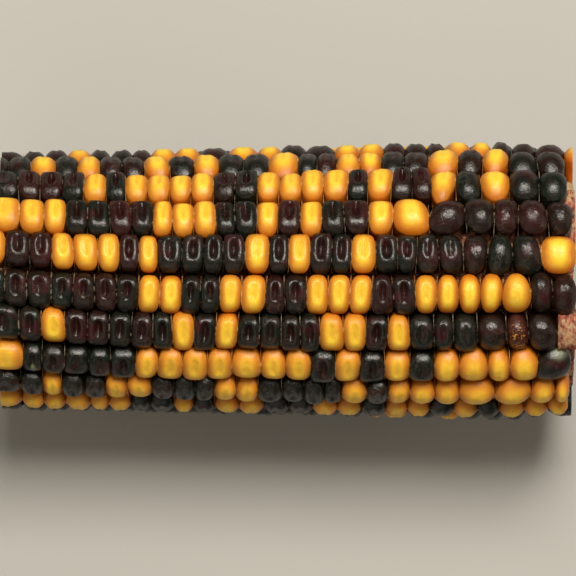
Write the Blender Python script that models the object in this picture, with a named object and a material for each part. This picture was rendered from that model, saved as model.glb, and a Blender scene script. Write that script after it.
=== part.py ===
"""A section of a corn ear, sawn flat at both ends: the cob and its twenty rows of kernels.

The ear lies along X, with its butt (the stalk end) at +X. Z = 0 is the surface it rests on,
and it rests on two neighbouring rows, one on each side of its lowest line.
"""

import math
import random

import bmesh
import bpy

EAR_LENGTH = 0.105
FULL_RADIUS = 0.0259  # from the axis to the kernels' crowns, where the ear is fattest
FULL_AT = 0.33  # where that is: this share of the length from the middle, towards the butt
TIP_TAPER = 0.0022  # how far the radius would fall over a whole length, evenly, to the tip
BUTT_TAPER = 0.026  # how fast it falls to the butt, by the square of the share

ROWS = 20
ROW_PITCH = math.tau / ROWS
FIRST_ROW_ANGLE = math.radians(81)  # row 1's crown, from straight up towards +Y
TWIST = math.radians(4)  # how far the rows have turned round the ear at its tip end
TWIST_FROM = 0.15  # the turn starts this share of the length from the middle

KERNEL_DEPTH = 0.0108  # from the crown to the foot, along the radius
SHOULDER_DROP = 0.0017  # a kernel's long edges lie this far below the middle of its crown
CROWN_LINES = (-0.55, 0.0, 0.55)  # edges along the crown, as shares of half its width
CROWN_ROUNDNESS = 2.2  # the crown falls to its long edges by this power of the way there
FURROW_DEPTH = 0.0011  # of the furrow between two kernels of a row
FURROW_NARROWING = 0.0004  # how far each side of the row draws in there
CROWN_SHARE = 0.66  # the share of a kernel's thickness that its crown takes

GAP = 0.0003  # between two rows, and between a row and the cob
COB_SIDES = 40
COB_LOOPS = 12  # edge loops along the cob, which let it follow the ear's taper

# How thick a kernel is along its row. c is a sliver that the saw left, s slim, m middling,
# w wide, x very wide and z the widest.
THICKNESS = {"c": 0.0015, "s": 0.0035, "m": 0.0040, "w": 0.0045, "x": 0.0053, "z": 0.0066}

# The kernels of rows 1 to 10, from the tip end to the butt. The _ that ends row 7 is the
# place of a kernel that is gone, where the cob shows.
UPPER_ROWS = (
    "mmmwsmswwxxwwxwwmmswmswxc",
    "cmwmmmmwwwwwxssmmmwxwwxz",
    "smmmmsmmmmmmmmmwswsswwxxz",
    "mwmmmmmsmmsmmmmmwwzzxwxx",
    "cwmmwmsswmsmwsmmswmsmwwwxz",
    "cmwmmmmmmssmwsmmmmmmmmmmxmw",
    "mmwmmmmsmmmmmsswmmmwswxmx_",
    "wsmwmwmwwwxwwwwwwwwxmxz",
    "mmsmmmwmmsmmwmsswmmwwzzws",
    "mmmwsmswsmwwwwwwwmmwwmwww",
)
MISSING_KERNEL = "_"
MISSING_THICKNESS = THICKNESS["s"]

# Rows 11 to 20 grow by the same habit: the tip third, the middle and the butt third each
# draw their kernels from these letters.
LOWER_HABIT = (("smmmw", 9), ("mmmw", 9), ("mwwx", 7))

MOSTLY_YELLOW = (8, 9, 10, 12, 15, 17, 20)  # the rows with more yellow kernels than purple


def ear_radius(x):
    """The radius to the crowns at x, which is largest near the butt and falls to the tip."""
    share = x / EAR_LENGTH - FULL_AT
    if share < 0:
        return FULL_RADIUS + TIP_TAPER * share
    return FULL_RADIUS - BUTT_TAPER * share * share


def ear_twist(x):
    """How far the rows have turned at x: they run straight but for the tip end."""
    share = max(0.0, -x / EAR_LENGTH - TWIST_FROM) / (0.5 - TWIST_FROM)
    return TWIST * share * share


def lower_row(number):
    """The letters of a row on the ear's underside."""
    draw = random.Random(number)
    return "".join(draw.choice(letters) for letters, count in LOWER_HABIT for _ in range(count))


def kernel_edges(letters):
    """Where the kernels of a row begin and end along X. Full rows fill the whole length."""
    sizes = [THICKNESS.get(letter, MISSING_THICKNESS) for letter in letters]
    scale = EAR_LENGTH / sum(sizes)
    edges = [-EAR_LENGTH / 2 + scale * sum(sizes[:count]) for count in range(len(sizes) + 1)]
    edges[-1] = EAR_LENGTH / 2
    if letters.endswith(MISSING_KERNEL):
        edges.pop()
    return edges


def material(name, colour, roughness):
    """A Principled material with one colour."""
    made = bpy.data.materials.new(name)
    made.use_nodes = True
    shader = made.node_tree.nodes["Principled BSDF"]
    shader.inputs["Base Color"].default_value = (*colour, 1.0)
    shader.inputs["Roughness"].default_value = roughness
    shader.inputs["Metallic"].default_value = 0.0
    made.diffuse_color = (*colour, 1.0)
    return made


def finish(name, bm, surface, collection):
    """Turn a finished bmesh into a named object in the ear's collection."""
    bmesh.ops.recalc_face_normals(bm, faces=bm.faces)
    mesh = bpy.data.meshes.new(name)
    bm.to_mesh(mesh)
    bm.free()
    mesh.materials.append(surface)
    piece = bpy.data.objects.new(name, mesh)
    collection.objects.link(piece)
    return piece


def cut_loops(bm, places):
    """Cut an edge loop across the whole piece at each of these places along X."""
    for x in places:
        everything = bm.verts[:] + bm.edges[:] + bm.faces[:]
        bmesh.ops.bisect_plane(bm, geom=everything, plane_co=(x, 0, 0), plane_no=(1, 0, 0), dist=1e-7)


def crown_lines(bm):
    """Cut edges along the bar's top face, which let the crown be round."""
    for place in CROWN_LINES:
        tops = [face for face in bm.faces if face.calc_center_median().z > 0.99]
        across_top = tops + [e for face in tops for e in face.edges] + [v for face in tops for v in face.verts]
        across_top = list(dict.fromkeys(across_top))
        bmesh.ops.bisect_plane(bm, geom=across_top, plane_co=(0, place, 0), plane_no=(0, 1, 0), dist=1e-7)


def kernel_row(name, angle, edges, surface, collection):
    """One row of kernels, as one solid from the tip end's saw cut to the last kernel's end.

    It starts as a box along X: Y from -1 to 1 is the row's width and Z from 0 to 1 its
    depth. Each vertex is then moved to where those shares lie on the ear.
    """
    bm = bmesh.new()
    bmesh.ops.create_cube(bm, size=1.0)
    bmesh.ops.scale(bm, verts=bm.verts, vec=(edges[-1] - edges[0], 2.0, 1.0))
    bmesh.ops.translate(bm, verts=bm.verts, vec=((edges[0] + edges[-1]) / 2, 0.0, 0.5))
    crown_lines(bm)
    furrows = edges[1:-1]
    margins = [(1 - CROWN_SHARE) / 2 * (b - a) for a, b in zip(edges, edges[1:])]
    crown_starts = [a + margin for a, margin in zip(edges, margins)]
    crown_ends = [b - margin for b, margin in zip(edges[1:], margins)]
    cut_loops(bm, furrows + crown_starts[1:] + crown_ends[:-1])

    for vert in bm.verts:
        x, across, depth = vert.co
        in_furrow = depth > 0.5 and any(abs(x - place) < 1e-6 for place in furrows)
        radius = ear_radius(x)
        if depth < 0.5:
            radius -= KERNEL_DEPTH
        else:
            radius -= SHOULDER_DROP * abs(across) ** CROWN_ROUNDNESS
        if in_furrow:
            radius -= FURROW_DEPTH
        half_pitch = ROW_PITCH / 2
        half_width = radius * math.tan(half_pitch) - GAP / 2 / math.cos(half_pitch)
        if in_furrow:
            half_width -= FURROW_NARROWING
        side = across * half_width
        turn = angle + ear_twist(x)
        vert.co.y = radius * math.sin(turn) + side * math.cos(turn)
        vert.co.z = radius * math.cos(turn) - side * math.sin(turn)
    return finish(name, bm, surface, collection)


def cob(surface, collection):
    """The cob, a round bar with flat sawn ends that follows the ear's taper."""
    bm = bmesh.new()
    bmesh.ops.create_cone(
        bm, cap_ends=True, segments=COB_SIDES, radius1=1.0, radius2=1.0, depth=EAR_LENGTH
    )
    for vert in bm.verts:
        vert.co = (vert.co.z, vert.co.y, -vert.co.x)
    step = EAR_LENGTH / COB_LOOPS
    cut_loops(bm, [-EAR_LENGTH / 2 + step * count for count in range(1, COB_LOOPS)])
    for vert in bm.verts:
        radius = ear_radius(vert.co.x) - KERNEL_DEPTH - GAP
        vert.co.y *= radius
        vert.co.z *= radius
    return finish("cob", bm, surface, collection)


def rest_on_surface(pieces):
    """Raise the ear from its axis so that its lowest crowns touch Z = 0, and centre it on Y."""
    points = [vert.co for piece in pieces for vert in piece.data.vertices]
    lowest = min(point.z for point in points)
    middle = (min(point.y for point in points) + max(point.y for point in points)) / 2
    for piece in pieces:
        piece.location = (0.0, -middle, -lowest)


def build():
    for old in list(bpy.data.objects):
        bpy.data.objects.remove(old, do_unlink=True)
    ear = bpy.data.collections.new("corn_cob")
    bpy.context.scene.collection.children.link(ear)

    purple = material("purple_kernels", (0.045, 0.012, 0.022), 0.3)
    yellow = material("yellow_kernels", (0.78, 0.36, 0.03), 0.32)
    chaff = material("cob_chaff", (0.62, 0.42, 0.24), 0.85)

    pieces = [cob(chaff, ear)]
    for number in range(1, ROWS + 1):
        letters = UPPER_ROWS[number - 1] if number <= len(UPPER_ROWS) else lower_row(number)
        angle = FIRST_ROW_ANGLE - (number - 1) * ROW_PITCH
        surface = yellow if number in MOSTLY_YELLOW else purple
        name = f"kernel_row_{number:02d}"
        pieces.append(kernel_row(name, angle, kernel_edges(letters), surface, ear))
    rest_on_surface(pieces)


build()
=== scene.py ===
"""The looks of a section of a two-coloured corn ear, sawn off square at both ends."""

import math
import random

import bmesh
import bpy
import numpy as np
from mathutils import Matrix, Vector, noise


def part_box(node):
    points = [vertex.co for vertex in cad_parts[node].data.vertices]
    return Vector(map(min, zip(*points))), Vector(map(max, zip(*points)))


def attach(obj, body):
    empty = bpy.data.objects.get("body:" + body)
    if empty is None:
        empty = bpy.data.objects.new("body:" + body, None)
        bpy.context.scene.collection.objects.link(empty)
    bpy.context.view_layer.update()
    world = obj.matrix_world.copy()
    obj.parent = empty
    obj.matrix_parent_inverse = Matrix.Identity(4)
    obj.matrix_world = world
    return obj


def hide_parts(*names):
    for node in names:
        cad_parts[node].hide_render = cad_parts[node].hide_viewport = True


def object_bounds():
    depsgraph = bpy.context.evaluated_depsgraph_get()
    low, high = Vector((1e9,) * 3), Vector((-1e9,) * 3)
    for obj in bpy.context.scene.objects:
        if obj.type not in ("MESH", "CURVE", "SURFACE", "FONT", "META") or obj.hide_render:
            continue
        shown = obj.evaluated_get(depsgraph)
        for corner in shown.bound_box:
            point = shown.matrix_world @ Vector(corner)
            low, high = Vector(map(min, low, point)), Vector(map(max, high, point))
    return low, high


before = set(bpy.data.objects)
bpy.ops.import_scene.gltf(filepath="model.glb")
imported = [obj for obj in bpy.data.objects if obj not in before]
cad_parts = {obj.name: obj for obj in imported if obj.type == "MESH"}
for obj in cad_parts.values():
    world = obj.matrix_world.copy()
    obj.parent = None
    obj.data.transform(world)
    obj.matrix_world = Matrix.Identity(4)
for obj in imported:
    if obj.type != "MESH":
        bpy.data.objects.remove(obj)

CAD_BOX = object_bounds()
MM = 0.001


# ---- The lines of the ear
# Twenty rows of kernels stand round the cob, whose axis lies along X with the butt at +X.
# Where each kernel begins and ends, and how far out its crown is, comes from its row's solid.

cob_low, cob_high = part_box("cob")
AXIS_Z = (cob_low.z + cob_high.z) / 2
TIP_X, BUTT_X = cob_low.x, cob_high.x
LENGTH = BUTT_X - TIP_X
ROW_NAMES = sorted(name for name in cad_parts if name.startswith("kernel_row"))
ROWS = len(ROW_NAMES)
HALF_PITCH = math.pi / ROWS


def row_line(name):
    """A row's kernel edges along X, and the radius and the angle of its crown along X."""
    stations = {}
    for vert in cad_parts[name].data.vertices:
        stations.setdefault(round(vert.co.x, 5), []).append(vert.co)
    places = sorted(stations)
    edges = [places[0], *places[2:-1:3], places[-1]]
    crowns = [place for place in places if place not in edges[1:-1]]
    tops = [max(stations[x], key=lambda p: math.hypot(p.y, p.z - AXIS_Z)) for x in crowns]
    return {
        "edges": edges,
        "x": crowns,
        "radius": [math.hypot(p.y, p.z - AXIS_Z) for p in tops],
        "angle": [math.atan2(p.y, p.z - AXIS_Z) for p in tops],
    }


LINES = [row_line(name) for name in ROW_NAMES]


def radius_at(line, x):
    return np.interp(x, line["x"], line["radius"])


def angle_at(line, x):
    return np.interp(x, line["x"], line["angle"])


# ---- A kernel's shape
# A kernel is a wedge with a domed crown, pressed flat on the sides that its neighbours in
# the row touch. As it dries its floury middle shrinks and leaves a long dent in the crown.
# X runs along the row, Y round the ear, and Z from the foot at 0 to the crown at 1.

KERNEL_DEPTH = 10.8 * MM
SIDES = 24
WALL_RINGS = ((0.70, 0.62, 0.0), (1.0, 1.0, 0.35), (1.0, 1.0, 0.72))  # half width, half depth, height
# The crown's rings: half width along X and along Y, shift along Y, and how deep the dent is.
CROWN_RINGS = (
    (1.00, 1.00, 0.00, 0.0),
    (0.96, 0.97, 0.00, 0.0),
    (0.89, 0.90, 0.02, 0.0),
    (0.80, 0.80, 0.05, 0.0),
    (0.70, 0.69, 0.10, 0.0),
    (0.55, 0.59, 0.14, 0.0),
    (0.42, 0.50, 0.17, 0.06 * MM),
    (0.28, 0.39, 0.18, 0.52 * MM),
    (0.05, 0.26, 0.18, 1.10 * MM),
)
SQUARE_WALL = (3.3, 2.1)  # of the outline along X and along Y: 2 is an oval, more is squarer
ROUND_WALL = (2.5, 2.0)  # of the plump kernels towards the butt
SQUARE_DENT = (2.2, 2.0)
# How far the crown falls to its edge along X and along Y, and by which power of the way there.
DENTED_FALL = ((0.80 * MM, 5.2), (2.1 * MM, 4.0))
FULL_FALL = ((1.20 * MM, 2.8), (2.4 * MM, 2.4))
PLUMP_FALL = ((1.50 * MM, 2.6), (2.6 * MM, 2.3))
PEAK = 0.15  # the crown's highest point is this share of the way to its upper end


def kernel_shape(name):
    """A kernel, extruded ring by ring from its foot."""
    bpy.ops.object.select_all(action="DESELECT")
    bpy.ops.mesh.primitive_circle_add(vertices=SIDES, radius=1.0, fill_type="NGON", location=(0, 0, 0))
    kernel = bpy.context.object
    kernel.name = name
    bpy.ops.object.mode_set(mode="EDIT")
    bpy.ops.mesh.select_all(action="SELECT")
    for level in range(1, len(WALL_RINGS) + len(CROWN_RINGS)):
        bpy.ops.mesh.extrude_region_move(TRANSFORM_OT_translate={"value": (0, 0, 1)})
    bpy.ops.mesh.poke()
    bpy.ops.mesh.select_all(action="SELECT")
    bpy.ops.mesh.normals_make_consistent(inside=False)
    bpy.ops.object.mode_set(mode="OBJECT")
    bpy.ops.object.shade_smooth()
    return kernel


def points_of(shape):
    points = np.empty(len(shape.data.vertices) * 3)
    shape.data.vertices.foreach_get("co", points)
    return points.reshape(-1, 3)


def crown_height(x, y, fall):
    (side_fall, side_power), (end_fall, end_power) = fall
    away = (y - PEAK) / (1 - math.copysign(PEAK, y - PEAK))
    drop = side_fall * abs(x) ** side_power + end_fall * abs(away) ** end_power
    return 1 - drop / KERNEL_DEPTH


def outline_at(cosine, sine, powers):
    """A point of an outline that is an oval where the powers are 2, and squarer above that."""
    return [math.copysign(abs(part) ** (2 / power), part) for part, power in zip((cosine, sine), powers)]


def ring_point(cage_point, fall, dented, outline=SQUARE_WALL):
    """Where a point of the extruded cage goes on the kernel, and its share of the dent."""
    level = round(cage_point[2])
    out = math.hypot(cage_point[0], cage_point[1])  # 0 only in the very middle of the crown
    cosine, sine = cage_point[0] / max(out, 1e-9), cage_point[1] / max(out, 1e-9)
    if level < len(WALL_RINGS):
        wide, deep, height = WALL_RINGS[level]
        x, y = outline_at(cosine, sine, outline)
        return x * wide, y * deep, height, 0.0
    ring = level - len(WALL_RINGS)
    wide, deep, shift, hollow = CROWN_RINGS[ring]
    inward = ring / (len(CROWN_RINGS) - 1)
    squareness = [wall + (dent - wall) * inward for wall, dent in zip(outline, SQUARE_DENT)]
    x, y = outline_at(cosine, sine, squareness) if out > 0.5 else (0.0, 0.0)
    x, y = x * wide, y * deep + shift
    height = crown_height(x, y, fall) - (hollow / KERNEL_DEPTH if dented else 0.0)
    return x, y, height, hollow / CROWN_RINGS[-1][3]


kernel_master = kernel_shape("kernel_master")
CAGE = points_of(kernel_master)
DENTED = np.array([ring_point(point, DENTED_FALL, True) for point in CAGE])
FULL = np.array([ring_point(point, FULL_FALL, False) for point in CAGE])
PLUMP = np.array([ring_point(point, PLUMP_FALL, False, ROUND_WALL) for point in CAGE])
HOLLOW = DENTED[:, 3]
RIM = np.nonzero((HOLLOW > 0.01) & (HOLLOW < 0.9))[0]  # the dent's sides, which are wrinkled
RIM_WRINKLE = (0.022, 0.015, 0.005)  # how far its points stray along X, Y and Z
DENTED, FULL, PLUMP = DENTED[:, :3], FULL[:, :3], PLUMP[:, :3]


# ---- The kernels' skins
# A kernel's skin is its pericarp, a tough waxy hull. It is clear over the golden flesh of the
# yellow kernels, and full of purple pigment on the others. Where a kernel was sawn through,
# the flesh itself shows.

def srgb(code):
    """The linear colour of an sRGB hex code."""
    parts = [int(code[i:i + 2], 16) / 255 for i in (1, 3, 5)]
    linear = [p / 12.92 if p <= 0.04045 else ((p + 0.055) / 1.055) ** 2.4 for p in parts]
    return (*linear, 1.0)


def node(tree, kind, links=None, out=0, stops=(), **settings):
    """Add a node and give one of its outputs.

    links gives an input's number or name the socket or the value that it takes, and stops
    are the places and colours of a colour ramp.
    """
    made = tree.nodes.new("ShaderNode" + kind)
    for key, value in settings.items():
        setattr(made, key, value)
    for key, value in (links or {}).items():
        if isinstance(value, bpy.types.NodeSocket):
            tree.links.new(value, made.inputs[key])
        else:
            made.inputs[key].default_value = value
    if stops:
        elements = made.color_ramp.elements
        while len(elements) < len(stops):
            elements.new(1.0)
        for element, (place, colour) in zip(elements, stops):
            element.position = place
            element.color = colour
    return made.outputs[out]


def new_material(name):
    material = bpy.data.materials.new(name)
    material.use_nodes = True
    return material, material.node_tree, material.node_tree.nodes["Principled BSDF"]


def grey(level):
    return (level, level, level, 1.0)


def mask(tree, factor, off, on):
    """0 where the factor is at off or past it, 1 where it is at on or past it."""
    return node(tree, "ValToRGB", {0: factor}, stops=sorted(((off, grey(0.0)), (on, grey(1.0)))))


def overlap(tree, first, *others):
    """Where several masks are at once, and how strongly: their product."""
    for other in others:
        first = node(tree, "Math", {0: first, 1: other}, operation="MULTIPLY")
    return first


def layered(tree, base, *layers):
    """A colour with others laid over it in turn, each where its mask is."""
    for where, colour in layers:
        base = node(tree, "Mix", {0: where, 6: base, 7: colour}, out=2, data_type="RGBA")
    return base


def kernel_places(tree):
    """A kernel's own coordinates: along the row, round the ear, and depth."""
    place = node(tree, "Attribute", out="Vector", attribute_name="place")
    return [node(tree, "SeparateXYZ", {0: place}, out=axis) for axis in range(3)]


def mottle(tree, size, detail=3.0, offset=0.0):
    """Cloudy noise between 0 and 1, whose patches are about this many metres across."""
    where = node(tree, "TexCoord", out="Object")
    shifted = node(tree, "VectorMath", {0: where, 1: (offset, offset, offset)})
    return node(tree, "TexNoise", {"Vector": shifted, "Scale": 1 / size, "Detail": detail})


def waver(tree, value, size, amount, detail=3.0):
    """A value that strays up and down by half this amount, in patches of this size."""
    stray = node(tree, "Math", {0: mottle(tree, size, detail), 1: 0.5}, operation="SUBTRACT")
    return node(tree, "Math", {0: value, 1: overlap(tree, stray, amount)}, operation="ADD")


def oval_of(tree, along, across, power=2.0):
    """How far out a point of the crown is: 0 in its middle and 1 on the oval itself."""
    total = 0.0
    for part in (along, across):
        length = node(tree, "Math", {0: part}, operation="ABSOLUTE")
        raised = node(tree, "Math", {0: length, 1: power}, operation="POWER")
        total = node(tree, "Math", {0: total, 1: raised}, operation="ADD")
    return node(tree, "Math", {0: total, 1: 1 / power}, operation="POWER")


def furrow_flecks_and_glints(tree, along, depth):
    """1 on the broken pale line where two kernels of a row touch: their dry pressed edges, with a painted
    glint of light along them.
    """
    side = node(tree, "Math", {0: along}, operation="ABSOLUTE")
    clouds = mottle(tree, 0.9 * MM, offset=3.0)
    broken = node(tree, "ValToRGB", {0: clouds}, stops=((0.50, grey(0.0)), (0.60, grey(0.7))))
    return overlap(tree, mask(tree, side, 0.93, 0.975), mask(tree, depth, 0.80, 0.87), broken)


# Yellow pericarp: clear, waxy skin over golden flesh. The crown is bright, and the flanks are orange:
# partly their own colour, partly a painted glow of the light that passes through more flesh there. The
# gloss is soft, as on wax.
yellow_skin, tree, shader = new_material("yellow_pericarp")
along, across, depth = kernel_places(tree)
hollow = node(tree, "Attribute", out="Fac", attribute_name="hollow")
tint = node(tree, "Attribute", out="Fac", attribute_name="tint")
across = node(tree, "Math", {0: across, 1: 0.04}, operation="SUBTRACT")
along_oval = node(tree, "Math", {0: along, 1: 0.78}, operation="DIVIDE")
oval = waver(tree, oval_of(tree, along_oval, across, 2.6), 1.6 * MM, 0.30)
crown = node(tree, "ValToRGB", {0: oval}, stops=(
    (0.0, srgb("#E0B830")), (0.36, srgb("#E6C43C")), (0.56, srgb("#DDB030")),
    (0.72, srgb("#D0952A")), (0.90, srgb("#C07E24")), (1.0, srgb("#B27020")),
))
# The dent is painted a darker orange: painted shade in the hollow.
crown = layered(tree, crown, (overlap(tree, hollow, 0.55), srgb("#D28A20")))
# Towards the foot, down in the furrows between the kernels, the skin is multiplied darker and
# orange-brown: painted shade and painted glow there.
flesh_and_furrow_shade = node(tree, "ValToRGB", {0: depth}, stops=(
    (0.0, srgb("#B98A5A")), (0.30, srgb("#D0A060")), (0.60, srgb("#D09050")),
    (0.78, srgb("#E8B878")), (0.90, srgb("#FFFFFF")),
))
skin = layered(
    tree,
    node(tree, "Mix", {0: 1.0, 6: crown, 7: flesh_and_furrow_shade}, out=2, data_type="RGBA", blend_type="MULTIPLY"),
    # the tint's orange, which on the rows of the shaded side is painted shade
    (overlap(tree, tint, 0.45), srgb("#D08C28")),
    # the pale pressed edges, partly a painted glint of light
    (furrow_flecks_and_glints(tree, along, depth), srgb("#F3C79A")),
)
tree.links.new(skin, shader.inputs["Base Color"])
gloss = node(tree, "ValToRGB", {0: mottle(tree, 0.5 * MM)}, stops=((0.3, grey(0.34)), (0.7, grey(0.50))))
tree.links.new(gloss, shader.inputs["Roughness"])
shader.inputs["IOR"].default_value = 1.36
shader.inputs["Subsurface Weight"].default_value = 0.45
shader.inputs["Subsurface Radius"].default_value = (1.0, 0.55, 0.15)
shader.inputs["Subsurface Scale"].default_value = 1.3 * MM
dimples = mottle(tree, 0.7 * MM, 4.0)
relief = node(tree, "Bump", {"Height": dimples, "Strength": 0.25, "Distance": 0.15 * MM})
tree.links.new(relief, shader.inputs["Normal"])

# Purple pericarp: skin so full of purple pigment that it looks black, greenish or wine red
# by kernel, and redder in the dent. It is satin, with fine scuffs and crackles. A few have
# amber spots where the pigment is missing, or a pale bloom, and all are pale at the foot.
purple_skin, tree, shader = new_material("purple_pericarp")
along, across, depth = kernel_places(tree)
hollow = node(tree, "Attribute", out="Fac", attribute_name="hollow")
tint = node(tree, "Attribute", out="Fac", attribute_name="tint")
amber = node(tree, "Attribute", out="Fac", attribute_name="amber")
bloom = node(tree, "Attribute", out="Fac", attribute_name="bloom")
pigment = node(tree, "ValToRGB", {0: tint}, stops=(
    (0.0, srgb("#09110A")), (0.35, srgb("#0E0E08")), (0.65, srgb("#1A0B06")), (1.0, srgb("#280B08")),
))
warm = mask(tree, mottle(tree, 1.5 * MM), 0.45, 0.75)
wine = mask(tree, mottle(tree, 4.5 * MM, 2.0, offset=11.0), 0.52, 0.66)
crest = mask(tree, depth, 0.84, 0.96)
where = node(tree, "TexCoord", out="Object")
crackle = node(tree, "TexVoronoi", {"Vector": where, "Scale": 1 / (1.3 * MM)}, feature="DISTANCE_TO_EDGE")
patch = mask(tree, mottle(tree, 2.5 * MM, offset=7.0), 0.52, 0.66)
scuffs = overlap(tree, mask(tree, crackle, 0.06, 0.0), patch)
spots = mask(tree, mottle(tree, 0.45 * MM, 4.0), 0.53, 0.63)
cluster = mask(tree, mottle(tree, 2.2 * MM, offset=5.0), 0.34, 0.46)
along_belly = node(tree, "Math", {0: along, 1: 0.9}, operation="DIVIDE")
across_belly = node(tree, "Math", {0: across, 1: 0.15}, operation="ADD")
belly = mask(tree, oval_of(tree, along_belly, across_belly), 1.0, 0.60)
skin = layered(
    tree, pigment,
    (overlap(tree, warm, 0.45), srgb("#28150B")),
    (overlap(tree, hollow, 0.6), srgb("#280809")),
    (overlap(tree, wine, crest, 0.55), srgb("#3A0D12")),
    (overlap(tree, scuffs, 0.16), srgb("#857560")),
    # the pale pressed edges, partly a painted glint of light
    (furrow_flecks_and_glints(tree, along, depth), srgb("#948B78")),
    (overlap(tree, amber, 0.75), srgb("#3A1710")),
    (overlap(tree, spots, cluster, belly, amber), srgb("#A8691E")),
    (bloom, srgb("#7C8064")),
    (mask(tree, depth, 0.42, 0.10), srgb("#A98B6A")),
)
tree.links.new(skin, shader.inputs["Base Color"])
grain = mottle(tree, 0.28 * MM, 4.0)
gloss = node(tree, "ValToRGB", {0: grain}, stops=((0.35, grey(0.26)), (0.68, grey(0.42))))
tree.links.new(gloss, shader.inputs["Roughness"])
shader.inputs["IOR"].default_value = 1.40
crackles = overlap(tree, scuffs, 0.3)
wrinkles = node(tree, "Math", {0: mottle(tree, 0.45 * MM, 6.0), 1: crackles}, operation="ADD")
relief = node(tree, "Bump", {"Height": wrinkles, "Strength": 0.50, "Distance": 0.14 * MM})
tree.links.new(relief, shader.inputs["Normal"])

# Sawn endosperm: glassy yellow flesh round a chalky white middle, with the cream germ towards
# the foot, which is brown. It is dull, from the saw.
sawn_flesh, tree, shader = new_material("sawn_endosperm")
along, across, depth = kernel_places(tree)


def patch_at(tree, across, depth, middle, half_width, half_height):
    """How far a point of the sawn face is from an oval's middle: 1 on its ragged outline."""
    wide = node(tree, "Math", {0: across, 1: half_width}, operation="DIVIDE")
    above = node(tree, "Math", {0: depth, 1: middle}, operation="SUBTRACT")
    tall = node(tree, "Math", {0: above, 1: half_height}, operation="DIVIDE")
    return waver(tree, oval_of(tree, wide, tall), 1.0 * MM, 0.22)


chalk = mask(tree, patch_at(tree, across, depth, 0.70, 0.52, 0.20), 1.0, 0.75)
germ = mask(tree, patch_at(tree, across, depth, 0.30, 0.30, 0.24), 0.95, 0.82)
germ_line = mask(tree, patch_at(tree, across, depth, 0.30, 0.12, 0.16), 0.9, 0.6)
flesh_and_furrow_shade = layered(
    tree, srgb("#E8B64A"),
    (mottle(tree, 1.2 * MM, offset=2.0), srgb("#F0C766")),
    (chalk, srgb("#F6EBCB")),
    (germ, srgb("#EAD9A6")),
    (overlap(tree, germ_line, 0.6), srgb("#C9A868")),
    (mask(tree, depth, 0.08, 0.02), srgb("#6B4A2A")),
)
tree.links.new(flesh_and_furrow_shade, shader.inputs["Base Color"])
shader.inputs["Roughness"].default_value = 0.55
grain = mottle(tree, 0.35 * MM, 4.0)
relief = node(tree, "Bump", {"Height": grain, "Strength": 0.5, "Distance": 0.2 * MM})
tree.links.new(relief, shader.inputs["Normal"])

# Chaff film: the papery edges that stand in the furrows between the kernels, silvery by the
# purple ones, orange from the light that comes through the yellow ones, and brown where torn.
film_paper, tree, shader = new_material("chaff_film")
# Next to yellow kernels the film is painted orange: a painted glow of the light that comes through them.
yellow_glow = node(tree, "Attribute", out="Fac", attribute_name="tint")
clean = layered(tree, srgb("#85785F"), (yellow_glow, srgb("#C08040")))
ragged = layered(tree, srgb("#3A2A20"), (yellow_glow, srgb("#A8602A")))
torn = mask(tree, mottle(tree, 1.6 * MM, 4.0), 0.46, 0.60)
tree.links.new(layered(tree, clean, (torn, ragged)), shader.inputs["Base Color"])
shader.inputs["Roughness"].default_value = 0.5
crumples = mottle(tree, 0.3 * MM, 4.0)
relief = node(tree, "Bump", {"Height": crumples, "Strength": 0.6, "Distance": 0.1 * MM})
tree.links.new(relief, shader.inputs["Normal"])

SKINS = (purple_skin, yellow_skin, sawn_flesh, film_paper)
PURPLE, YELLOW, SAWN, FILM = range(len(SKINS))


# ---- The rows of kernels
# Every kernel is fixed in the cob by its foot. Within a row they are pressed together, and
# their crowns reach into the hollows between the kernels of the rows on both sides.

HALF_CROWN = 4.0 * MM  # half a crown's width round the ear
REACH = (-0.45 * MM, 0.45 * MM)  # past the middle line between rows: facing a kernel, facing a furrow
PRESS = 1.04  # how much thicker a kernel would be if its neighbours in the row let it
PLUMP_PRESS = 0.02  # and this much less where it is plump
SAW_WASTE = 1.55  # a sawn kernel was this many times as thick as what is left of it
LEAST_LEFT = 3 * MM  # and what is left counts as this thick at least
SAW_INSIDE = 0.001 * MM  # the cuts lie this far inside the cob's ends
FLATTEST_X = 20 * MM  # the dents fade out from here towards the butt
LAST_DENT_X = 36 * MM
BROAD = 5.0 * MM  # a kernel thicker than this is plumper, wherever it is
DENT_DEPTHS = (0.7, 1.15)  # a dent's depth, least and most
SHALLOWEST = 0.05  # what is left of a dent where it has faded out
YELLOW_DENT = 0.5  # a yellow kernel's dent, as a share of a purple one's
CROWN_STRETCH = (0.9, 1.15)  # the power that spreads a crown round the ear, or draws it in
SUNK = (0.05, 0.40)  # how many millimetres lower than the row's line a crown is
TILT = (0.12, 0.15)  # how far it leans, in millimetres, along the row and round the ear
FURROW_STRAY = (0.16 * MM, 0.08 * MM)  # how far the furrows slant and bow
FURROW_LOOSENESS = 1.2  # and how much more they do so at the butt
ROW_SEED, COLOUR_SEED = 500, 100

# p is a purple kernel, y a yellow one and a one with amber spots, from the tip to the butt.
UPPER_COLOURS = (
    "pppypppyypyyppyypppyypppy",
    "ppypyppypyppyppyyppypypp",
    "ppppypyyyyppyyyypyppypypp",
    "yyyppppyyyppypyppyyppppp",
    "yppyyypyppppypyppypppppppy",
    "pppppppyyppyyppyyyppyyyyypp",
    "ppypppppypyppppyypyppppap",
    "ypppppyyyyyyypypypyyyyp",
    "ppyppyypppyyppppypyyyyyyy",
    "yyyyyyppypyyppyypyypypyyy",
)
MOSTLY_YELLOW = (12, 15, 17, 20)  # of the rows underneath, those with more yellow kernels
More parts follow.
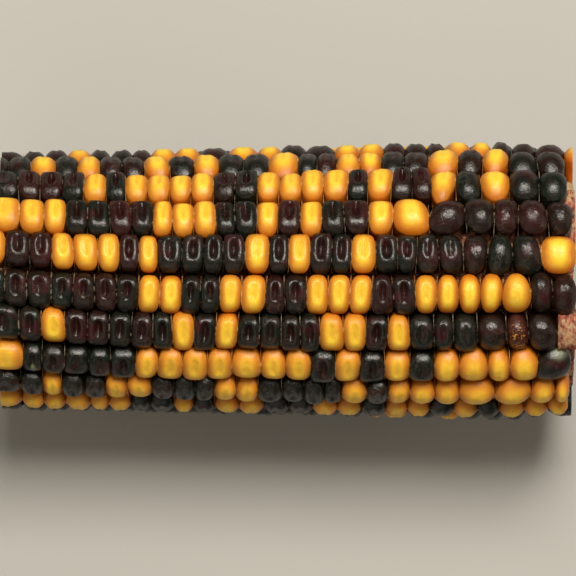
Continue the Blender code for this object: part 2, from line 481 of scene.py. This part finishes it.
# Rows whose kernels are less dented and plumper than the others: which share of a dent they
# have, and how plump they are at least.
ROW_FORM = {
    "kernel_row_01": (0.15, 0.4), "kernel_row_02": (0.25, 0.3), "kernel_row_08": (0.8, 0.2),
    "kernel_row_09": (0.5, 0.5), "kernel_row_10": (0.4, 0.6), "kernel_row_11": (0.4, 0.6),
    "kernel_row_19": (0.15, 0.4), "kernel_row_20": (0.15, 0.4),
}
# Rows on the ear's shaded side, turned away from the key lamp: their yellow kernels are painted more
# orange, as painted shade, and their purple ones are greener.
SHADED_SIDE_ROWS = ("kernel_row_08", "kernel_row_09", "kernel_row_10", "kernel_row_11", "kernel_row_12")

# How far a row's last kernel stands back from the butt's saw cut. The saw went between the
# kernels there, so these are whole, and only the rows that aren't named were cut through.
SET_BACK = {
    "kernel_row_02": 1.7 * MM, "kernel_row_03": 1.5 * MM, "kernel_row_04": 0.7 * MM,
    "kernel_row_05": 0.15 * MM, "kernel_row_06": 0.05 * MM, "kernel_row_08": 0.5 * MM,
    "kernel_row_09": 0.9 * MM, "kernel_row_10": 0.9 * MM, "kernel_row_12": 0.4 * MM,
    "kernel_row_13": 1.1 * MM, "kernel_row_15": 0.6 * MM, "kernel_row_16": 0.2 * MM,
    "kernel_row_18": 0.9 * MM, "kernel_row_20": 0.5 * MM,
}
# Odd kernels, by row and kernel: one whose lower end reaches this far into the next row and
# narrows, some that lean (how far the first edge moves, and both edges' slants), and a last
# one that is less plump than the others there.
LONG_FOOT = {("kernel_row_03", 20): 2.3 * MM}
FOOT_NARROWING = 0.40
LEANING = {
    ("kernel_row_03", 20): (-0.2 * MM, 0.5 * MM, 0.5 * MM),
    ("kernel_row_04", 18): (0.0, 0.0, -0.9 * MM),
    ("kernel_row_04", 19): (0.2 * MM, 1.3 * MM, 0.0),
    ("kernel_row_05", 25): (0.0, 0.0, 0.0),
    ("kernel_row_08", 22): (-0.7 * MM, 0.9 * MM, 0.4 * MM),
}
PLUMPNESS = {("kernel_row_05", 25): 0.3}
# Pale bloom on single kernels, by row and kernel: where along it and across it, and how wide.
BLOOMS = {("kernel_row_08", 22): (0.2, 1.15, 0.50), ("kernel_row_08", 1): (0.1, -0.40, 0.30)}


def lower_colours(number, count):
    """The colours of a row that is hidden underneath, which come in runs of like kernels."""
    draw = random.Random(COLOUR_SEED + number)
    yellow_share = 0.6 if number in MOSTLY_YELLOW else 0.38
    colours = ""
    while len(colours) < count:
        colours += ("y" if draw.random() < yellow_share else "p") * draw.choice((1, 1, 2, 3))
    return colours[:count]


def furrow_gap(line, x):
    """How near x is to a furrow of this row: 1 on the furrow, 0 in the middle of a kernel."""
    edges = line["edges"]
    spans = list(zip(edges, edges[1:]))
    start, end = min(spans, key=lambda span: abs((span[0] + span[1]) / 2 - x))
    return min(1.0, abs(x - (start + end) / 2) / ((end - start) / 2))


def furrows(line, draw):
    """Each furrow's place at every share round the ear: its X, its slant and its bow."""
    made = []
    for x in line["edges"]:
        loose = 1.0 + FURROW_LOOSENESS * max(0.0, (x - FLATTEST_X) / (BUTT_X - FLATTEST_X))
        made.append((x, *[draw.gauss(0, stray) * loose for stray in FURROW_STRAY]))
    return made


def edge_at(edge, u):
    """The X of a slanted and bowed edge, at each share round the ear."""
    place, slant, bow = edge
    return place + slant * u + bow * (u * u - 0.3)


def place_kernel(points, line, first, last, reach, lower, tilt):
    """Carry a kernel's points from its own box to its place in the row."""
    v, u, w = points.T
    x = edge_at(first, u) + (edge_at(last, u) - edge_at(first, u)) * (v + 1) / 2
    leaned = tilt[0] * v * w + tilt[1] * u * w - lower
    radius = radius_at(line, x) + np.minimum(0, leaned - (1 - w) * KERNEL_DEPTH)
    reached = np.where(u > 0, reach[0], reach[1])
    side = u * (radius * math.tan(HALF_PITCH) + reached * np.clip(w, 0, 1) ** 2)
    turn = angle_at(line, x)
    y = radius * np.sin(turn) + side * np.cos(turn)
    z = AXIS_Z + radius * np.cos(turn) - side * np.sin(turn)
    return np.column_stack((x, np.clip(y, CAD_BOX[0][1], CAD_BOX[1][1]), np.clip(z, 0, CAD_BOX[1][2])))


def set_attribute(mesh, name, kind, values):
    field = {"FLOAT": "value", "FLOAT_VECTOR": "vector"}[kind]
    made = mesh.attributes.new(name, kind, "POINT")
    made.data.foreach_set(field, np.asarray(values, dtype=float).ravel())


def copy_of(master, points):
    """A copy of a modelled piece, with its own mesh and these points."""
    made = master.copy()
    made.data = master.data.copy()
    bpy.context.scene.collection.objects.link(made)
    made.data.vertices.foreach_set("co", points.ravel())
    for skin in SKINS:
        made.data.materials.append(skin)
    return made


def dress(piece, skin, alongs, tint=0.0, amber=0.0, hollow=0.0, bloom=0.0):
    """Choose a piece's material slot, and set the values that the skins read at each point."""
    mesh = piece.data
    mesh.polygons.foreach_set("material_index", [skin] * len(mesh.polygons))
    count = len(mesh.vertices)
    set_attribute(mesh, "along", "FLOAT", alongs)
    for name, value in (("tint", tint), ("amber", amber), ("hollow", hollow), ("bloom", bloom)):
        set_attribute(mesh, name, "FLOAT", np.broadcast_to(value, (count,)))


# ---- The chaff in the furrows
# Thin papery chaff wraps each kernel's foot, and its torn edges stand in the furrows between
# the kernels. In the pits between four kernels it is a wider, lower tuft.

FILM_STATIONS = 12
FILM_REACH = 0.93  # of the way from a kernel's middle to its end
FILM_HALF = (0.06 * MM, 0.012 * MM)  # half its thickness at its foot and at its edge
FILM_FOOT = 0.9 * MM  # how far its foot is below its edge
FILM_EDGE = (0.60 * MM, 1.80 * MM)  # its edge is this far below the crowns
FILM_DEEPER = 0.7 * MM  # and this much lower between plump kernels
FILM_TORN = (0.4, 1.2 * MM)  # the share of films that are torn off, and how much lower they are
FILM_RAG = 0.24 * MM  # how ragged it is
TUFT_FROM = 0.66  # the tufts begin this share of the way to a kernel's end
TUFT_HALF = 0.10 * MM
TUFT_DROP = 1.0 * MM

bpy.ops.object.select_all(action="DESELECT")
bpy.ops.mesh.primitive_plane_add(size=2.0, rotation=(math.pi / 2, 0, 0), location=(0, -1, 0))
film_master = bpy.context.object
bpy.ops.object.transform_apply(location=True, rotation=True, scale=True)
bpy.ops.object.mode_set(mode="EDIT")
bpy.ops.mesh.select_all(action="SELECT")
for station in range(1, FILM_STATIONS):
    bpy.ops.mesh.extrude_region_move(TRANSFORM_OT_translate={"value": (0, 2 / (FILM_STATIONS - 1), 0)})
bpy.ops.mesh.select_all(action="SELECT")
bpy.ops.mesh.normals_make_consistent(inside=False)
bpy.ops.object.mode_set(mode="OBJECT")
bpy.ops.object.shade_smooth()
FILM_CAGE = points_of(film_master)


def furrow_film(line, furrow, yellow_glow, deeper, draw):
    """The film that stands in one furrow, with its foot hidden between the two kernels."""
    low = deeper + draw.uniform(*FILM_EDGE) + (FILM_TORN[1] if draw.random() < FILM_TORN[0] else 0)
    ragged = [max(FILM_EDGE[0], low + draw.gauss(0, FILM_RAG)) for _ in range(FILM_STATIONS)]
    points = []
    for side, share, level in FILM_CAGE:
        u = share * FILM_REACH
        station = round((share + 1) / 2 * (FILM_STATIONS - 1))
        drop, thin = ragged[station], FILM_HALF[1]
        if abs(u) > TUFT_FROM:
            drop, thin = drop + TUFT_DROP, TUFT_HALF * draw.uniform(0.4, 1.0)
        edge = crown_height(0, u, DENTED_FALL) - drop / KERNEL_DEPTH
        if level > 0:
            points.append((side * thin / MM, u, edge))
        else:
            points.append((side * max(thin, FILM_HALF[0]) / MM, u, edge - FILM_FOOT / KERNEL_DEPTH))
    place, slant, bow = furrow
    first, last = (place - MM, slant, bow), (place + MM, slant, bow)
    film = copy_of(film_master, place_kernel(np.array(points), line, first, last, (0, 0), 0, (0, 0)))
    dress(film, FILM, [0.0] * len(points), yellow_glow)
    return film


# ---- Every row, put together and sawn off
# A row's kernels hold on to the cob and to one another, so a row is one piece with the chaff
# in its furrows. The saw cut the ear's two ends flat, through whatever kernels it met.

def saw_off(row, x, outwards):
    """Cut the row square at x, and close the cut with flat sawn faces."""
    bpy.ops.object.select_all(action="DESELECT")
    row.select_set(True)
    bpy.context.view_layer.objects.active = row
    bpy.ops.object.mode_set(mode="EDIT")
    bpy.ops.mesh.select_all(action="SELECT")
    bpy.ops.mesh.bisect(
        plane_co=(x, 0, 0), plane_no=(outwards, 0, 0), use_fill=True, clear_outer=True, threshold=1e-6
    )
    bpy.ops.object.mode_set(mode="OBJECT")
    for face in row.data.polygons:
        if abs(face.center.x - x) < 1e-6 and abs(face.normal.x) > 0.99:
            face.material_index = SAWN
            face.use_smooth = False


def note_places(row, line, alongs):
    """Give each vertex its share round the ear and its depth, for the skins' patterns."""
    points = points_of(row)
    x, y, z = points.T
    turn = angle_at(line, x)
    out = y * np.sin(turn) + (z - AXIS_Z) * np.cos(turn)
    side = y * np.cos(turn) - (z - AXIS_Z) * np.sin(turn)
    depth = 1 - (radius_at(line, x) - out) / KERNEL_DEPTH
    set_attribute(row.data, "place", "FLOAT_VECTOR", np.column_stack((alongs, side / HALF_CROWN, depth)))


def joined(pieces, name):
    """Make these pieces one."""
    bpy.ops.object.select_all(action="DESELECT")
    for piece in pieces:
        piece.select_set(True)
    bpy.context.view_layer.objects.active = pieces[0]
    bpy.ops.object.join()
    pieces[0].name = name
    return pieces[0]


def grown_shape(draw, plump, dent, free):
    """A kernel's points in its own box: so plump, so dented, and a little unlike the others."""
    shape = FULL + (PLUMP - FULL) * plump + (DENTED - FULL) * dent
    shape[RIM] += [[draw.gauss(0, stray) for stray in RIM_WRINKLE] for _ in RIM]
    shape[:, 0] *= PRESS - PLUMP_PRESS * plump
    if free:
        shape[:, 0] = np.minimum(shape[:, 0], 1.0)
    shape[:, 1] = np.sign(shape[:, 1]) * np.abs(shape[:, 1]) ** draw.uniform(*CROWN_STRETCH)
    return shape


def whole_kernel(name, k, count, first, last):
    """A kernel's two edges, before the saw took what stood past the cuts."""
    before_saw = max(last[0] - first[0], LEAST_LEFT) * SAW_WASTE
    if k == 0:
        first = (last[0] - before_saw, 0.0, 0.0)
    if k == count - 1 and last[0] > BUTT_X - 1e-5:
        if name in SET_BACK:
            last = (BUTT_X - SET_BACK[name], 0.0, 0.0)
        else:
            last = (first[0] + before_saw, 0.0, 0.0)
    if (name, k) in LEANING:
        shift, first_slant, last_slant = LEANING[name, k]
        at_butt = last[0] > BUTT_X - 2 * MM  # there a slanted edge draws back, to stay whole
        first = (first[0] + shift, first_slant, first[2])
        last = (last[0] - abs(last_slant) * at_butt, last_slant, last[2])
    return first, last


def bloom_on(shape, name, k):
    """How much pale bloom each point of a kernel has, which is none on most kernels."""
    if (name, k) not in BLOOMS:
        return 0.0
    v, u, wide = BLOOMS[name, k]
    away = np.hypot(shape[:, 0] - v, shape[:, 1] - u) / wide
    return np.clip(1.3 - away, 0, 0.6) * (shape[:, 2] > 0.7)


def tint_and_side_shade(draw, name, yellow):
    """Where a kernel's colour lies: yellow to orange, or greenish black to wine red. On the shaded side's
    rows a yellow kernel is painted more orange, which is painted shade.
    """
    tint = draw.random() ** 1.5
    # On the shaded side a yellow kernel is painted more orange: painted shade.
    if name in SHADED_SIDE_ROWS:
        return 0.6 + 0.4 * tint if yellow else 0.4 * tint
    return 0.5 * tint if yellow else tint


for index, name in enumerate(ROW_NAMES):
    line = LINES[index]
    above, below = LINES[index - 1], LINES[(index + 1) % ROWS]
    draw = random.Random(ROW_SEED + index)
    count = len(line["edges"]) - 1
    if index < len(UPPER_COLOURS):
        colours = UPPER_COLOURS[index]
    else:
        colours = lower_colours(index + 1, count)
    dent_share, least_plump = ROW_FORM.get(name, (1.0, 0.0))
    edges = furrows(line, draw)
    pieces = []
    for k in range(count):
        yellow = colours[k] == "y"
        middle = (edges[k][0] + edges[k + 1][0]) / 2
        fade = (middle - FLATTEST_X) / (LAST_DENT_X - FLATTEST_X)
        broad = (edges[k + 1][0] - edges[k][0] - BROAD) / MM
        plump = PLUMPNESS.get((name, k), min(1.0, max(least_plump, fade, broad)))
        if k > 0:
            # how much painted orange glow the film gets from its yellow neighbours
            yellow_glow = colours[k - 1:k + 1].count("y") / 2
            pieces.append(furrow_film(line, edges[k], yellow_glow, FILM_DEEPER * plump, draw))
        dent = draw.uniform(*DENT_DEPTHS) * max(SHALLOWEST, 1 - max(fade, broad, 0.0)) * dent_share
        if yellow:
            dent *= YELLOW_DENT
        shape = grown_shape(draw, plump, dent, k == count - 1)
        reach = [REACH[0] + (REACH[1] - REACH[0]) * furrow_gap(side, middle) for side in (above, below)]
        if (name, k) in LONG_FOOT:
            reach[1] = LONG_FOOT[name, k]
            shape[:, 0] *= 1 - FOOT_NARROWING * np.clip(-shape[:, 1] - 0.1, 0, 1)
        first, last = whole_kernel(name, k, count, edges[k], edges[k + 1])
        lower = draw.uniform(*SUNK) * MM
        tilt = [draw.gauss(0, lean) * MM for lean in TILT]
        kernel = copy_of(kernel_master, place_kernel(shape, line, first, last, reach, lower, tilt))
        dress(
            kernel, YELLOW if yellow else PURPLE, shape[:, 0], tint=tint_and_side_shade(draw, name, yellow),
            amber=float(colours[k] == "a"), hollow=HOLLOW * dent, bloom=bloom_on(shape, name, k),
        )
        pieces.append(kernel)
    row = joined(pieces, f"{name}_kernels")
    saw_off(row, TIP_X + SAW_INSIDE, -1)
    saw_off(row, BUTT_X - SAW_INSIDE, 1)
    alongs = np.empty(len(row.data.vertices))
    row.data.attributes["along"].data.foreach_get("value", alongs)
    note_places(row, line, alongs)
    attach(row, "root")
    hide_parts(name)

for master in (kernel_master, film_master):
    bpy.data.objects.remove(master, do_unlink=True)


# ---- The chaff at the butt
# Where the saw missed the kernels it tore the chaff that had wrapped the next ones: red-brown
# and fibrous, with paler papery borders. It fills the empty last place of row 7.

WAD_CUTS = 7
WAD_TOP = (0.42, 0.60)  # how high it stands in a gap, least and most, as a share of a kernel's depth
EMPTY_TOP = 0.90  # and in the empty place
WAD_RAG = 0.45 * MM
WAD_SAG = 0.10  # how much lower it is at its two sides
WAD_UNDER = 0.9 * MM  # how far it runs on under the last kernel
WAD_LEAST = 0.3 * MM  # a narrower gap holds none
EMPTY_GAP = 0.1 * MM  # between the last kernel and the chaff of the empty place
EMPTY_ROW = "kernel_row_07"
PAPERY_ROW = "kernel_row_02"  # whose chaff is nearly all papery
MORE_PAPERY = 0.12

# Torn chaff: dry, dull and fibrous, red-brown inside and tan at its papery borders.
torn_chaff, tree, shader = new_material("torn_chaff")
where = node(tree, "TexCoord", out="Object")
drawn_out = node(tree, "Mapping", {"Vector": where, "Scale": (1.0, 0.35, 0.35)})
fibre = node(tree, "TexNoise", {"Vector": drawn_out, "Scale": 1 / (0.45 * MM), "Detail": 5.0})
red = node(tree, "ValToRGB", {0: fibre}, stops=(
    (0.36, srgb("#4E2016")), (0.50, srgb("#87432E")), (0.64, srgb("#B07450")),
))
border = node(tree, "Attribute", out="Fac", attribute_name="tint")  # 1 at the edges of a wad
papery = mask(tree, waver(tree, border, 1.0 * MM, 0.5, 4.0), 0.84, 0.96)
tree.links.new(layered(tree, red, (papery, srgb("#A98C68"))), shader.inputs["Base Color"])
shader.inputs["Roughness"].default_value = 0.8
relief = node(tree, "Bump", {"Height": fibre, "Strength": 0.9, "Distance": 0.3 * MM})
tree.links.new(relief, shader.inputs["Normal"])

bpy.ops.object.select_all(action="DESELECT")
bpy.ops.mesh.primitive_cube_add(size=2.0, location=(0, 0, 0))
wad_master = bpy.context.object
bpy.ops.object.mode_set(mode="EDIT")
bpy.ops.mesh.select_all(action="SELECT")
bpy.ops.mesh.subdivide(number_cuts=WAD_CUTS)
bpy.ops.object.mode_set(mode="OBJECT")
bpy.ops.object.shade_smooth()
WAD_CAGE = points_of(wad_master)


def torn_wad(line, start, top, seed, papery=0.0):
    """Chaff from here to the butt, flat where it was sawn and ragged on top."""
    points = []
    for v, u, level in WAD_CAGE:
        share = (level + 1) / 2
        rag = noise.noise(Vector((v * 1.5 + seed, u * 5, 0)))
        rag += 0.6 * noise.noise(Vector((v * 4, u * 11, seed)))
        height = share * (top + WAD_RAG / KERNEL_DEPTH * rag - WAD_SAG * abs(u) ** 3)
        sway = 0.10 * noise.noise(Vector((u * 3, share * 4, seed)))
        points.append((min(1.0, v + sway * (v < 0.99)), u * (0.96 - 0.05 * share), height))
    points = np.array(points)
    placed = place_kernel(points, line, (start, 0, 0), (BUTT_X, 0, 0), (0, 0), 0, (0, 0))
    wad = copy_of(wad_master, placed)
    border = np.maximum(np.abs(points[:, 1]), points[:, 2] / (top + 0.02))
    dress(wad, 0, [0.0] * len(points), border - 0.08 + papery)
    wad.data.materials.clear()
    wad.data.materials.append(torn_chaff)
    return wad


wads = []
for index, name in enumerate(ROW_NAMES):
    line = LINES[index]
    if name == EMPTY_ROW:
        wads.append(torn_wad(line, line["edges"][-1] + EMPTY_GAP, EMPTY_TOP, index))
    elif SET_BACK.get(name, 0) > WAD_LEAST:
        start = BUTT_X - SET_BACK[name] - WAD_UNDER
        height = WAD_TOP[0] + (WAD_TOP[1] - WAD_TOP[0]) * random.Random(index).random()
        wads.append(torn_wad(line, start, height, index, MORE_PAPERY if name == PAPERY_ROW else 0.0))
butt_chaff = joined(wads, "butt_chaff")
bpy.data.objects.remove(wad_master, do_unlink=True)
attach(butt_chaff, "root")


# ---- The cob
# The cob is the ear's woody core: a white pith, a hard tan ring round it, and red-brown
# chaff that holds the kernels' feet. The saw left its ends flat and a little ragged.

PITH_RADIUS = 4.5 * MM
WOOD_RADIUS = 10 * MM
CHAFF_RISE = 2.6 * MM  # how far the chaff stands up between the kernels' feet
COB_SIDES = 120
COB_LOOPS = 24  # along the cob, which let it follow the ear's taper
FACE_RINGS = (16.0, 14.2, 12.4, 11.0, 9.8, 9.4, 8.2, 6.8, 5.4, 4.7, 4.3, 3.0, 1.6)  # radii, in mm
# How far the saw tore into each part of its face, and by how much more or less, here and there.
TORN_WOOD = (0.132 * MM, 0.12 * MM)
TORN_CHAFF = (0.45 * MM, 0.35 * MM)
TORN_PITH = (0.35 * MM, 0.25 * MM)

bpy.ops.object.select_all(action="DESELECT")
bpy.ops.mesh.primitive_cylinder_add(
    vertices=COB_SIDES, radius=1.0, depth=LENGTH, rotation=(0, math.pi / 2, 0), location=(0, 0, 0)
)
cob = bpy.context.object
cob.name = "cob_core"
bpy.ops.object.transform_apply(location=True, rotation=True, scale=True)
cob_line = LINES[0]
bm = bmesh.new()
bm.from_mesh(cob.data)
for step in range(1, COB_LOOPS):
    place = (TIP_X + LENGTH * step / COB_LOOPS, 0, 0)
    everything = bm.verts[:] + bm.edges[:] + bm.faces[:]
    bmesh.ops.bisect_plane(bm, geom=everything, plane_co=place, plane_no=(1, 0, 0))
for vert in bm.verts:
    radius = radius_at(cob_line, vert.co.x) - KERNEL_DEPTH + CHAFF_RISE
    vert.co.y *= radius
    vert.co.z *= radius
ends = [face for face in bm.faces if abs(face.normal.x) > 0.99]
for end in ends:
    x = end.calc_center_median().x
    rim = radius_at(cob_line, x) - KERNEL_DEPTH + CHAFF_RISE
    for ring in FACE_RINGS:
        thickness = rim - ring * MM
        if thickness <= 0.1 * MM:
            continue
        bmesh.ops.inset_region(bm, faces=[end], thickness=thickness, use_even_offset=True)
        rim = ring * MM
    bmesh.ops.poke(bm, faces=[end])
bm.to_mesh(cob.data)
bm.free()
for vert in cob.data.vertices:
    if abs(abs(vert.co.x) - BUTT_X) < 1e-6:
        away = math.hypot(vert.co.y, vert.co.z)
        rough = noise.noise(Vector((vert.co.x * 50, vert.co.y * 900, vert.co.z * 900)))
        torn = TORN_CHAFF if away > WOOD_RADIUS else TORN_PITH if away < PITH_RADIUS else TORN_WOOD
        vert.co.x -= math.copysign(torn[0] + torn[1] * rough, vert.co.x)
    vert.co.z += AXIS_Z
cob.data.shade_smooth()

# Cob tissue: dry, dull and open, spongy in the pith, hard in the wood, and in the chaff made
# of spokes, each the foot of a kernel's wrapping.
FACE_SCALE = 20 * MM  # the rings' places are shares of this radius
cob_tissue, tree, shader = new_material("cob_tissue")
where = node(tree, "TexCoord", out="Object")
centred = node(tree, "Mapping", {"Vector": where, "Location": (0, 0, -AXIS_Z)})
sideways, upwards = [node(tree, "SeparateXYZ", {0: centred}, out=axis) for axis in (1, 2)]
away = oval_of(tree, sideways, upwards)
away = node(tree, "Math", {0: away, 1: FACE_SCALE}, operation="DIVIDE")
rings = node(tree, "ValToRGB", {0: waver(tree, away, 1.5 * MM, 0.09, 4.0)}, stops=(
    (0.0, srgb("#F3EBD8")), (0.20, srgb("#EFE3C8")), (0.245, srgb("#C9A56B")), (0.30, srgb("#D9BE8C")),
    (0.43, srgb("#CFAE78")), (0.49, srgb("#A8633F")), (0.60, srgb("#96472F")), (0.80, srgb("#A95B3C")),
))
turn = node(tree, "Math", {0: sideways, 1: upwards}, operation="ARCTAN2")
spokes = node(tree, "Math", {0: overlap(tree, turn, 4.0 * ROWS)}, operation="SINE")
spokes = node(tree, "Math", {0: overlap(tree, spokes, 0.25), 1: 0.75}, operation="ADD")
spokes = overlap(tree, mottle(tree, 0.5 * MM, 3.0), spokes)
pale = overlap(tree, mask(tree, spokes, 0.40, 0.52), mask(tree, away, 0.46, 0.52), 0.75)
tree.links.new(layered(tree, rings, (pale, srgb("#DDBB8C"))), shader.inputs["Base Color"])
shader.inputs["Roughness"].default_value = 0.85
fibres = node(tree, "Math", {0: spokes, 1: mottle(tree, 0.3 * MM, 4.0)}, operation="ADD")
relief = node(tree, "Bump", {"Height": fibres, "Strength": 0.8, "Distance": 0.35 * MM})
tree.links.new(relief, shader.inputs["Normal"])
cob.data.materials.append(cob_tissue)
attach(cob, "root")
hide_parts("cob")


# ---- The table, the light and the camera
# The ear lies on a matt, pale table. One soft lamp stands above it and a little behind, and
# three weak ones lighten its sides and its sawn ends. The camera looks down from far away.

bpy.ops.object.select_all(action="DESELECT")
bpy.ops.mesh.primitive_plane_add(size=6.0, location=(0, 0, 0))
floor = bpy.context.object
floor.name = "floor"
floor_paint, tree, shader = new_material("floor_paint")
shader.inputs["Base Color"].default_value = srgb("#A9A7A2")
shader.inputs["Roughness"].default_value = 0.9
floor.data.materials.append(floor_paint)

EAR_SHARE = 569 / 576  # of the view's width, that the ear's length takes
CAMERA_TILT = math.radians(-3)  # from straight down
CAMERA_AWAY = 1.2
aim = Vector((0.2 * MM, -1.3 * MM, AXIS_Z))  # where the middle of the view falls on the ear
back = Vector((0, math.sin(CAMERA_TILT), math.cos(CAMERA_TILT)))
bpy.ops.object.camera_add(location=aim + back * CAMERA_AWAY, rotation=(CAMERA_TILT * -1, 0, 0))
camera = bpy.context.object
camera.data.lens = camera.data.sensor_width * CAMERA_AWAY / (LENGTH / EAR_SHARE)
bpy.context.scene.camera = camera


def lamp(name, azimuth, height, away, size, power, colour):
    """A soft square lamp that faces the ear, from this azimuth and angle above the table."""
    a, e = math.radians(azimuth), math.radians(height)
    towards = Vector((math.cos(e) * math.sin(a), math.cos(e) * math.cos(a), math.sin(e)))
    bpy.ops.object.light_add(type="AREA", location=Vector((0, 0, AXIS_Z)) + towards * away)
    made = bpy.context.object
    made.name = name
    made.rotation_euler = towards.to_track_quat("Z", "Y").to_euler()
    made.data.size = size
    made.data.energy = power
    made.data.color = colour
    return made


lamp("key", 18, 66, 0.7, 0.30, 7.2, (1.0, 0.95, 0.86))
lamp("fill", 200, 35, 0.9, 0.8, 1.5, (1.0, 0.93, 0.80))
lamp("butt_fill", 90, 22, 0.8, 0.5, 0.7, (1.0, 0.94, 0.84))
lamp("tip_fill", 270, 22, 0.8, 0.5, 0.6, (1.0, 0.94, 0.84))
world = bpy.data.worlds.new("studio")
world.use_nodes = True
background = world.node_tree.nodes["Background"]
background.inputs["Color"].default_value = (0.98, 0.90, 0.76, 1.0)
background.inputs["Strength"].default_value = 0.11
bpy.context.scene.world = world
bpy.context.scene.view_settings.view_transform = "Standard"
